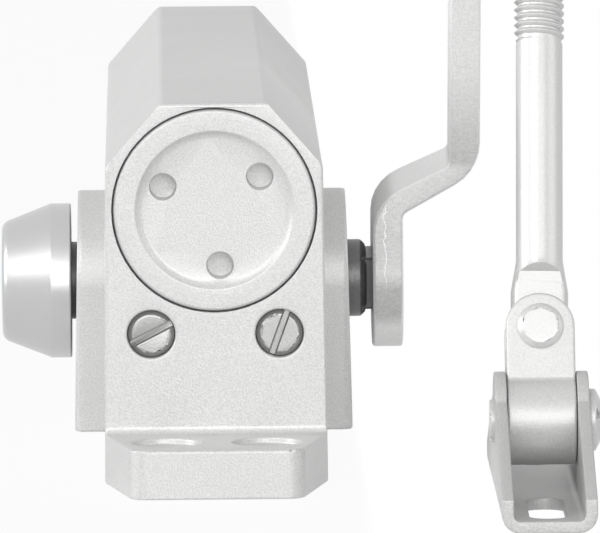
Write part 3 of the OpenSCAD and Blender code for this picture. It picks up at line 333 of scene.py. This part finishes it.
def helix_tree(name):
    """A Geometry Nodes tree that sweeps a profile along a helix about Z. Every size is a named input."""
    tree = bpy.data.node_groups.new(name, "GeometryNodeTree")
    for size in HELIX_SIZES:
        kind = "NodeSocketInt" if size in HELIX_COUNTS else "NodeSocketFloat"
        tree.interface.new_socket(name=size, in_out="INPUT", socket_type=kind)
    tree.interface.new_socket(name="Material", in_out="INPUT", socket_type="NodeSocketMaterial")
    tree.interface.new_socket(name="Geometry", in_out="OUTPUT", socket_type="NodeSocketGeometry")
    given = wire(tree, "NodeGroupInput").outputs

    def step(kind, inputs, **settings):
        return wire(tree, kind, inputs, **settings).outputs[0]

    path = step("GeometryNodeCurveSpiral", {
        "Resolution": given["Steps per Turn"], "Rotations": given["Turns"], "Start Radius": given["Path Radius"],
        "End Radius": given["Path Radius"], "Height": 0.0})
    turn = maths(tree, "MULTIPLY", wire(tree, "GeometryNodeSplineParameter").outputs["Factor"], given["Turns"])
    last = maths(tree, "SUBTRACT", given["Turns"], 1.0)
    end_turn = given["End Turn Height"]
    middle = maths(tree, "SUBTRACT", given["Height"], maths(tree, "MULTIPLY", end_turn, 2.0))
    rise = span(tree, turn, 0.0, 1.0, 0.0, end_turn)
    rise = maths(tree, "ADD", rise, span(tree, turn, 1.0, last, 0.0, middle))
    rise = maths(tree, "ADD", rise, span(tree, turn, last, given["Turns"], 0.0, end_turn))
    lift = step("ShaderNodeCombineXYZ", {"Z": rise})
    path = step("GeometryNodeSetPosition", {"Geometry": path, "Offset": lift})
    path = step("GeometryNodeSetCurveNormal", {"Curve": path}, mode="Z_UP")
    fade_in = span(tree, turn, 0.0, given["Run-out"], HELIX_THIN_END, 1.0)
    path = step("GeometryNodeSetCurveRadius", {"Curve": path, "Radius": fade_in})
    ring = step("GeometryNodeCurvePrimitiveCircle", {"Resolution": given["Profile Sides"], "Radius": 1.0})
    scale = step("ShaderNodeCombineXYZ", {"X": given["Profile Depth"], "Y": given["Profile Width"], "Z": 1.0})
    shift = step("ShaderNodeCombineXYZ", {"X": given["Profile Inset"]})
    ring = step("GeometryNodeTransform", {"Geometry": ring, "Scale": scale, "Translation": shift})
    ring = step("GeometryNodeFilletCurve", {
        "Curve": ring, "Count": 2, "Radius": given["Fillet"], "Limit Radius": True}, mode="POLY")
    whole = step("GeometryNodeCurveToMesh", {
        "Curve": path, "Profile Curve": ring, "Scale": fade_in, "Fill Caps": True})
    whole = step("GeometryNodeSetShadeSmooth", {"Geometry": whole})
    whole = step("GeometryNodeRealizeInstances", {"Geometry": whole})
    whole = step("GeometryNodeSetMaterial", {"Geometry": whole, "Material": given["Material"]})
    wire(tree, "NodeGroupOutput", {"Geometry": whole})
    return tree


def helix(name, place, paint, **sizes):
    """Makes a plain mesh from the helix tree, set by the identifiers of its inputs and placed by a matrix."""
    blank = in_scene(name + "_blank", bpy.data.meshes.new(name + "_blank"))
    nodes = blank.modifiers.new("helix", "NODES")
    nodes.node_group = helix_tree(name + "_tree")
    for item in nodes.node_group.interface.items_tree:
        if item.in_out == "INPUT":
            size = item.name.replace(" ", "_").replace("-", "_").lower()
            nodes[item.identifier] = paint if size == "material" else sizes[size]
    bpy.context.view_layer.update()
    made = bpy.data.meshes.new_from_object(blank.evaluated_get(bpy.context.evaluated_depsgraph_get()))
    made.name = name
    made.transform(place)
    bpy.data.objects.remove(blank)
    return in_scene(name, made)


spring_steel = metal("spring_steel", SPRING_COLOUR, roughness=0.36, metallic=0.8, grain=0.15, grain_size=0.0006,
                     cloud=0.15, bump=0.1)
low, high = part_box("main_spring")
spring_middle = (Vector(low) + Vector(high)) / 2
spring_start = Matrix.Translation((0, low[1] + SPRING_WIRE / 2, spring_middle.z))
spring = helix("round_spring", spring_start @ Matrix.Rotation(math.radians(-90), 4, "X"), spring_steel,
               path_radius=(high[2] - low[2] - SPRING_WIRE) / 2, turns=SPRING_TURNS, steps_per_turn=SPRING_STEPS,
               height=high[1] - low[1] - SPRING_WIRE, end_turn_height=CLOSED_TURN * SPRING_WIRE,
               profile_sides=SPRING_SIDES, profile_depth=SPRING_WIRE / 2, profile_width=SPRING_WIRE / 2,
               profile_inset=0.0, fillet=0.0, run_out=SPRING_RUN_OUT)
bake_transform(spring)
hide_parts("main_spring")


# The pinion and its shaft are cut from one hardened steel bar and left dark from the hardening.
# Only the stub beside the arm shows.
DARK_COLOUR = (0.19, 0.19, 0.19)
SHAFT_EDGE = 0.0003
dark_steel = metal("dark_steel", DARK_COLOUR, roughness=0.38, metallic=0.6, grain=0.12, grain_size=0.0004,
                   cloud=0.08, bump=0.12)
dressed("pinion_shaft", "pinion_and_arm", dark_steel, SHAFT_EDGE)


# A roller bearing on each side carries the shaft: a steel ring pressed into the boss,
# and rollers between the ring and the shaft. All of it is hardened and ground.
coated(ground_steel, "left_bearing_ring", "right_bearing_ring", "left_bearing_rollers", "right_bearing_rollers")


# A gland holds each shaft seal in its boss. It is turned from steel, left dark
# and screwed in by two spanner holes.
dressed("left_gland", "housing", dark_steel, SHAFT_EDGE)
dressed("right_gland", "housing", dark_steel, SHAFT_EDGE)


# A cap hides the unused end of the shaft. It is a hollow cone, moulded in plastic with a satin silver coat,
# and is pushed over the shaft's end.
SATIN_COLOUR = (0.57, 0.57, 0.57)
CAP_EDGE = 0.0002
satin_silver = metal("satin_silver", SATIN_COLOUR, roughness=0.30, metallic=0.8, grain=0.01, grain_size=0.0006,
                     cloud=0.01, bump=0.01, spread=0.015)
dressed("pinion_cap", "pinion_and_arm", satin_silver, CAP_EDGE)


# The main arm is blanked from steel plate, bent to a step and lacquered. Its narrow sides keep the rough face left by
# shearing under the lacquer. Faces turned towards -Y get painted shade, strongest towards the bottom and streaked like
# that rough face, and a painted highlight along the line where the shearing let go.
ARM_COLOUR = (0.93, 0.93, 0.925)
ARM_EDGE = 0.0006
SHADED_FACING_FROM, SHADED_FACING_TO = -0.92, -0.75
PAINTED_SHADE_DARK, STREAK_DARK = 0.34, 0.04
FADE_LOW, FADE_HIGH, FADE_LEFT = 0.050, 0.075, 0.25
STREAK_STRETCH, STREAK_SCALE, STREAK_LOW, STREAK_HIGH = (0.35, 0.35, 1.0), 2600.0, 0.35, 0.65
WOBBLE_SCALE = 420.0
LINE_X, LINE_LOW, LINE_LOW_FADE, LINE_TOP, LINE_TOP_FADE = 0.0340, 0.027, 0.002, 0.044, 0.001
LINE_CORE, LINE_HALF, LINE_WOBBLE, LINE_HIGHLIGHT = 0.00004, 0.00016, 0.00035, 0.3
arm_silver = metal("arm_silver", ARM_COLOUR, roughness=0.36, metallic=0.2, specular=0.35, grain=0.07,
                   grain_size=0.00035, cloud=0.04, bump=0.12)
tree = arm_silver.node_tree


def step_between(value, low, high, at_low=0.0, at_high=1.0):
    """A smooth step of a value between two marks, in the arm's paint."""
    return span(tree, value, low, high, at_low, at_high, interpolation_type="SMOOTHSTEP")


spot = wire(tree, "ShaderNodeTexCoord").outputs
axes = wire(tree, "ShaderNodeSeparateXYZ", {0: spot["Object"]}).outputs
facing = wire(tree, "ShaderNodeSeparateXYZ", {0: spot["Normal"]}).outputs
# Painted shade on the faces turned towards -Y: full below FADE_LOW, down to a FADE_LEFT share above FADE_HIGH.
painted_shade = maths(tree, "MULTIPLY", step_between(facing["Y"], SHADED_FACING_FROM, SHADED_FACING_TO, 1.0, 0.0),
                step_between(axes["Z"], FADE_LOW, FADE_HIGH, 1.0, FADE_LEFT))
stretched = wire(tree, "ShaderNodeVectorMath", {0: spot["Object"], 1: STREAK_STRETCH}, operation="MULTIPLY")
streaks = wire(tree, "ShaderNodeTexNoise", {
    "Vector": stretched.outputs[0], "Scale": STREAK_SCALE, "Detail": 3.0}).outputs["Fac"]
wobble = wire(tree, "ShaderNodeTexNoise", {
    "Vector": spot["Object"], "Scale": WOBBLE_SCALE, "Detail": 3.0}).outputs["Fac"]
off_line = maths(tree, "ADD", maths(tree, "SUBTRACT", axes["X"], LINE_X),
                 step_between(wobble, NOISE_LOW, NOISE_HIGH, -LINE_WOBBLE, LINE_WOBBLE))
along_line = maths(tree, "MULTIPLY", step_between(axes["Z"], LINE_LOW, LINE_LOW + LINE_LOW_FADE),
                   step_between(axes["Z"], LINE_TOP - LINE_TOP_FADE, LINE_TOP, 1.0, 0.0))
line = maths(tree, "MULTIPLY", step_between(maths(tree, "ABSOLUTE", off_line), LINE_CORE, LINE_HALF, 1.0, 0.0),
             along_line)
dark = maths(tree, "ADD", PAINTED_SHADE_DARK, step_between(streaks, STREAK_LOW, STREAK_HIGH, -STREAK_DARK, STREAK_DARK))
level = maths(tree, "SUBTRACT", 1.0, maths(tree, "MULTIPLY", painted_shade, dark))
# Painted highlight: the thin wavy line is made lighter, only where the painted shade lies.
painted_highlight = maths(tree, "MULTIPLY", maths(tree, "MULTIPLY", line, painted_shade), LINE_HIGHLIGHT)
level = maths(tree, "ADD", level, painted_highlight)
base = tree.nodes["Principled BSDF"].inputs["Base Color"]
arm_tint = wire(tree, "ShaderNodeVectorMath", {0: base.links[0].from_socket, "Scale": level}, operation="SCALE")
tree.links.new(arm_tint.outputs["Vector"], base)
dressed("main_arm", "pinion_and_arm", arm_silver, ARM_EDGE, segments=3)


# A countersunk screw draws the arm onto the shaft's square. A shoulder screw, a spacer and a nut make the elbow.
# All four are turned from steel and zinc plated.
for node in ("arm_screw", "elbow_screw", "elbow_spacer", "elbow_nut"):
    dressed(node, "pinion_and_arm", zinc_plate, TURNED_EDGE)


# The forearm is a steel tube, lacquered, with one end flattened and pierced to an eye for the elbow's screw.
# A zinc plated lock nut holds the rod where it is set. The tube's neck, whose facets meet softly, isn't rounded.
ROD_COLOUR = (0.67, 0.67, 0.665)
FOREARM_EDGE = 0.0004
EYE_OUT, NECK_OUT = 0.0125, 0.036
rod_silver = metal("rod_silver", ROD_COLOUR, roughness=0.32, metallic=0.25, grain=0.04, grain_size=0.0004,
                   bump=0.02, spread=0.02)
joints = {joint["name"]: joint for joint in frame["joints"]}
elbow = Vector(joints["elbow_fold"]["pos_m"])
dressed("forearm_tube", "forearm", rod_silver, FOREARM_EDGE, segments=3,
        share=lambda spot: float(not EYE_OUT < (spot - elbow).length < NECK_OUT))
dressed("jam_nut", "forearm", zinc_plate, TURNED_EDGE)


# The forearm's rod is a steel bar with a rolled thread at one end and a tongue milled flat at the other.
# Its thread is the ridge of a helix round a core that is drawn in to the thread's root.
RIVET_AT, THREAD_FROM, THREAD_TO = 0.017, 0.0726, 0.179
CUTTER_FROM, CUTTER_TO = 0.0255, 0.038
THREAD_CREST, THREAD_ROOT, THREAD_PITCH = 0.0048, 0.00405, 0.0015
THREAD_START, THREAD_SINK, THREAD_HALF = 0.0004, 0.0001, 0.00083
THREAD_INSET, THREAD_FILLET, THREAD_RUN_OUT, THREAD_STEPS = 0.00017, 0.0001, 0.9, 36
TRIANGLE_DEPTH = 1.5  # how deep a triangle in a circle of radius 1 is
rod_up = -Vector(joints["rod_adjust"]["axis"]).normalized()
rod_side = Vector(joints["knuckle_swing"]["axis"]).cross(rod_up).normalized()
at_rod = Matrix((rod_side, rod_up.cross(rod_side), rod_up)).transposed().to_4x4()
at_rod.translation = Vector(joints["knuckle_swing"]["pos_m"]) - rod_up * RIVET_AT
from_world = at_rod.inverted()
rod = dressed("forearm_rod", "forearm_rod", rod_silver, FOREARM_EDGE, segments=3,
              share=lambda spot: float(not CUTTER_FROM < (from_world @ spot).z < CUTTER_TO))
for vertex in rod.data.vertices:
    spot = from_world @ vertex.co
    if spot.z > THREAD_FROM + THREAD_START and spot.xy.length > THREAD_ROOT:
        spot.xy *= THREAD_ROOT / spot.xy.length
        vertex.co = at_rod @ spot
thread = helix("rod_thread", at_rod @ Matrix.Translation((0, 0, THREAD_FROM)), rod_silver,
               path_radius=THREAD_ROOT, turns=(THREAD_TO - THREAD_FROM) / THREAD_PITCH, steps_per_turn=THREAD_STEPS,
               height=THREAD_TO - THREAD_FROM, end_turn_height=THREAD_PITCH, profile_sides=3,
               profile_depth=-(THREAD_CREST - THREAD_ROOT + THREAD_SINK) / TRIANGLE_DEPTH,
               profile_width=-THREAD_HALF, profile_inset=-THREAD_INSET,  # below zero, so that the ridge points out
               fillet=THREAD_FILLET, run_out=THREAD_RUN_OUT)
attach(thread, "forearm_rod")


# The knuckle is a forged steel fork with a barrel, lacquered.
# A steel rivet joins it to the rod's tongue and lets it swing a little.
KNUCKLE_COLOUR = (0.63, 0.63, 0.625)
KNUCKLE_EDGE = 0.0005
knuckle_silver = metal("knuckle_silver", KNUCKLE_COLOUR, roughness=0.38, metallic=0.25, grain=0.07,
                       grain_size=0.0004, cloud=0.03, bump=0.1)
dressed("knuckle", "knuckle", knuckle_silver, KNUCKLE_EDGE, segments=3)
dressed("knuckle_rivet", "knuckle", rod_silver, TURNED_EDGE)


# The shoe is a channel pressed and bent from sheet steel, lacquered, with a slot for the screw in its flat.
# It takes the knuckle's barrel between its ears on a slotted pin.
SHEET_COLOUR = (0.58, 0.58, 0.575)
SHEET_EDGE = 0.0003
sheet_silver = metal("sheet_silver", SHEET_COLOUR, roughness=0.42, metallic=0.2, specular=0.35, grain=0.08,
                     grain_size=0.0004, cloud=0.04, bump=0.25)
dressed("shoe_bracket", "shoe", sheet_silver, SHEET_EDGE)
dressed("shoe_pin", "shoe", rod_silver, TURNED_EDGE)
